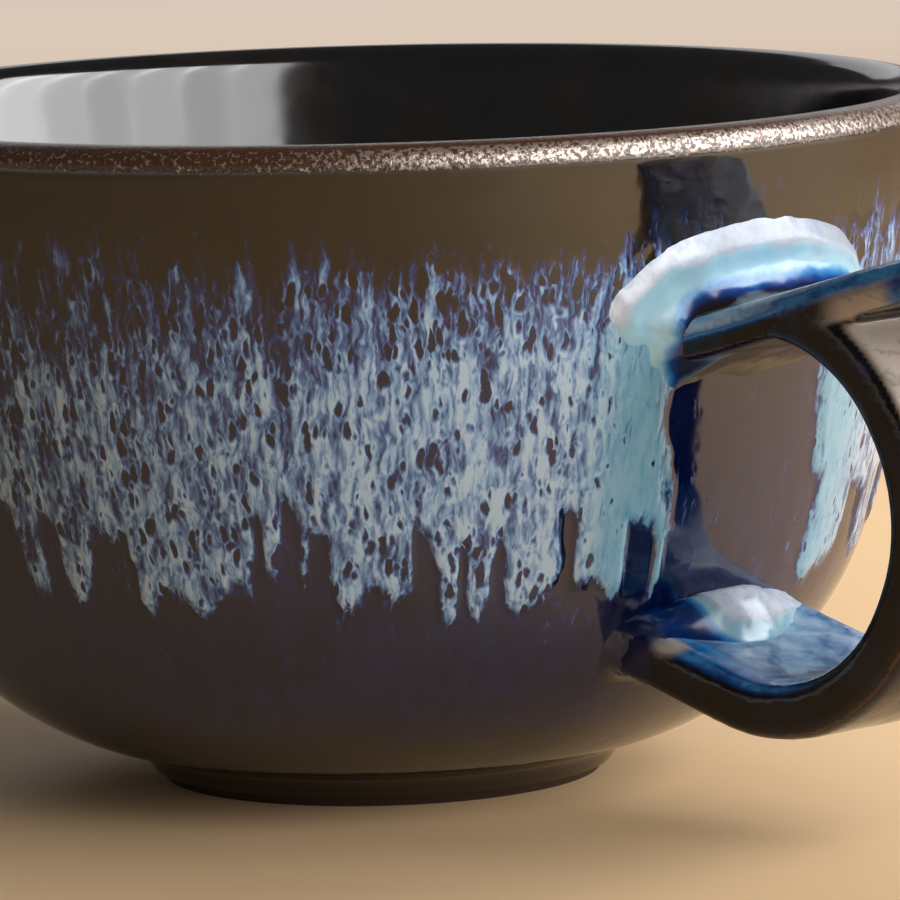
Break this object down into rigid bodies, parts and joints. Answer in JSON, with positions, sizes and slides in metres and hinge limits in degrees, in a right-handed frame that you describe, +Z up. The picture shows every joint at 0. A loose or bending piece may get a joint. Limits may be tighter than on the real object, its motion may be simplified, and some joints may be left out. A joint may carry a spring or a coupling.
{
  "type": "tea cup",
  "caption": "Round glazed stoneware tea cup on a turned foot ring, with a ring handle, a rising thumb rest and a reactive drip-glaze band.",
  "frame": {"origin": "centre of the foot ring on the table plane", "axes": "+Z up along the cup's axis, +X from the axis towards the handle"},
  "size_m": [0.1383, 0.105, 0.062],
  "materials": {
    "cup_clay": "bare fired stoneware on the foot's standing face",
    "handle_clay": "fired stoneware under the glaze",
    "upper_joint_glaze": "gloss, pooled pale blue glaze over slip",
    "lower_joint_glaze": "gloss, pooled blue glaze over slip",
    "inner_glaze": "gloss, near-black navy",
    "outer_glaze": "gloss, olive-black to navy",
    "drip_glaze": "gloss, pale blue reactive coat with dark breaks",
    "handle_glaze": "gloss, brown-black breaking to brown at edges"
  },
  "bodies": {
    "root": {"cup_body": "cup_clay", "handle": "handle_clay", "upper_slip_joint": "upper_joint_glaze", "lower_slip_joint": "lower_joint_glaze", "inner_glaze": "inner_glaze", "outer_glaze": "outer_glaze", "drip_glaze": "drip_glaze", "handle_glaze": "handle_glaze"}
  },
  "joints": []
}
